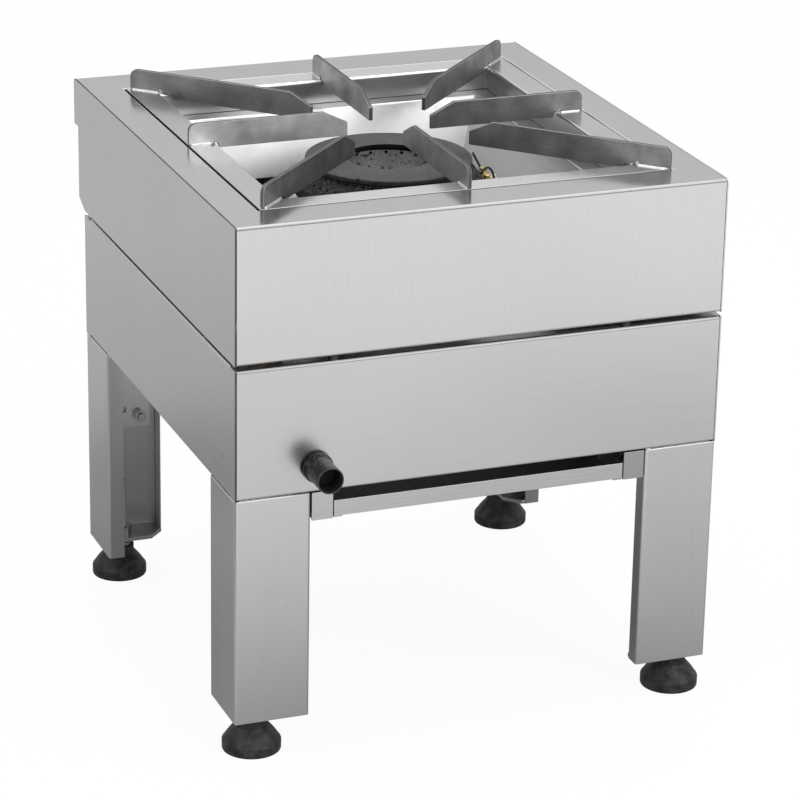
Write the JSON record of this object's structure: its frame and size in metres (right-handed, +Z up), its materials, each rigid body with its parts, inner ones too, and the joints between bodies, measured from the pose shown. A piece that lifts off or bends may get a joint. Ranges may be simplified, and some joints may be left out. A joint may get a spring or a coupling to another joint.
{
  "type": "stock pot range",
  "caption": "Low square gas stock pot range in brushed stainless steel: lift-out pan support, ring burner, hollow black knob, drip tray and open legs on levelling feet.",
  "frame": {"origin": "on the floor, under the middle of the whole, from the knob's end to the rear rim", "axes": "+X to the right along the front, +Y to the rear, +Z up"},
  "size_m": [0.5068, 0.574, 0.5635],
  "materials": {
    "housing_steel": "brushed",
    "frame_steel": "brushed",
    "basin_steel": "satin",
    "leg_steel": "brushed",
    "tray_steel": "brushed",
    "inner_steel": "satin",
    "bar_steel": "scale grey, rough",
    "cast_iron": "rough",
    "black_plastic": "matte",
    "zinc": "zinc plated",
    "brass": "satin",
    "copper": "satin",
    "ceramic": "glazed"
  },
  "bodies": {
    "housing": {"hood_deck_and_front": "housing_steel", "hood_left_side": "housing_steel", "hood_right_side": "housing_steel", "hood_rear": "housing_steel", "apron_front": "housing_steel", "apron_rear": "housing_steel", "apron_left": "housing_steel", "apron_right": "housing_steel", "spill_basin": "basin_steel", "leg_front_left": "leg_steel", "leg_front_right": "leg_steel", "leg_rear_right": "leg_steel", "leg_rear_left": "leg_steel", "corner_post_front_left": "leg_steel", "corner_post_front_right": "leg_steel", "corner_post_rear_right": "leg_steel", "corner_post_rear_left": "leg_steel", "tray_rail_left": "tray_steel", "tray_rail_right": "tray_steel", "burner_bar_front": "inner_steel", "burner_bar_rear": "inner_steel", "injector_bracket": "inner_steel", "pilot_bracket": "inner_steel", "burner_body": "cast_iron", "piezo_igniter": "black_plastic", "ignition_lead": "black_plastic", "gas_tap_body": "brass", "gas_inlet": "brass", "injector_holder": "brass", "injector_nozzle": "brass", "pilot_burner": "brass", "burner_pipe": "copper", "supply_pipe": "copper", "pilot_pipe": "copper", "thermocouple": "copper", "ignition_electrode": "ceramic"},
    "tap_plug": {"tap_plug": "brass"},
    "knob": {"control_knob": "black_plastic", "tap_spindle": "zinc"},
    "tray": {"drip_tray": "tray_steel"},
    "pan_support": {"pan_support_frame": "frame_steel", "support_bar_left": "bar_steel", "support_bar_right": "bar_steel", "support_bar_front": "bar_steel", "support_bar_rear": "bar_steel", "support_bar_front_left": "bar_steel", "support_bar_front_right": "bar_steel", "support_bar_rear_right": "bar_steel", "support_bar_rear_left": "bar_steel"},
    "burner_ring": {"burner_cap": "cast_iron"},
    "foot_front_left": {"foot_pad_front_left": "black_plastic", "foot_stud_front_left": "zinc"},
    "foot_front_right": {"foot_pad_front_right": "black_plastic", "foot_stud_front_right": "zinc"},
    "foot_rear_right": {"foot_pad_rear_right": "black_plastic", "foot_stud_rear_right": "zinc"},
    "foot_rear_left": {"foot_pad_rear_left": "black_plastic", "foot_stud_rear_left": "zinc"}
  },
  "joints": [
    {"name": "tap_turn", "type": "hinge", "parent": "housing", "child": "tap_plug", "pos_m": [-0.1687, 0.003, 0.298], "axis": [0, 1, 0], "range_deg": [0, 180]},
    {"name": "knob_push", "type": "slide", "parent": "tap_plug", "child": "knob", "axis": [0, 1, 0], "range_m": [0, 0.0035], "stiffness_N_per_m": 1500},
    {"name": "tray_slide", "type": "slide", "parent": "housing", "child": "tray", "axis": [0, -1, 0], "range_m": [0, 0.4]},
    {"name": "pan_support_lift", "type": "slide", "parent": "housing", "child": "pan_support", "axis": [0, 0, 1], "range_m": [0, 0.15]},
    {"name": "burner_cap_lift", "type": "slide", "parent": "housing", "child": "burner_ring", "axis": [0, 0, 1], "range_m": [0, 0.022]},
    {"name": "foot_front_left_screw", "type": "slide", "parent": "housing", "child": "foot_front_left", "axis": [0, 0, -1], "range_m": [0, 0.02]},
    {"name": "foot_front_right_screw", "type": "slide", "parent": "housing", "child": "foot_front_right", "axis": [0, 0, -1], "range_m": [0, 0.02]},
    {"name": "foot_rear_right_screw", "type": "slide", "parent": "housing", "child": "foot_rear_right", "axis": [0, 0, -1], "range_m": [0, 0.02]},
    {"name": "foot_rear_left_screw", "type": "slide", "parent": "housing", "child": "foot_rear_left", "axis": [0, 0, -1], "range_m": [0, 0.02]}
  ]
}
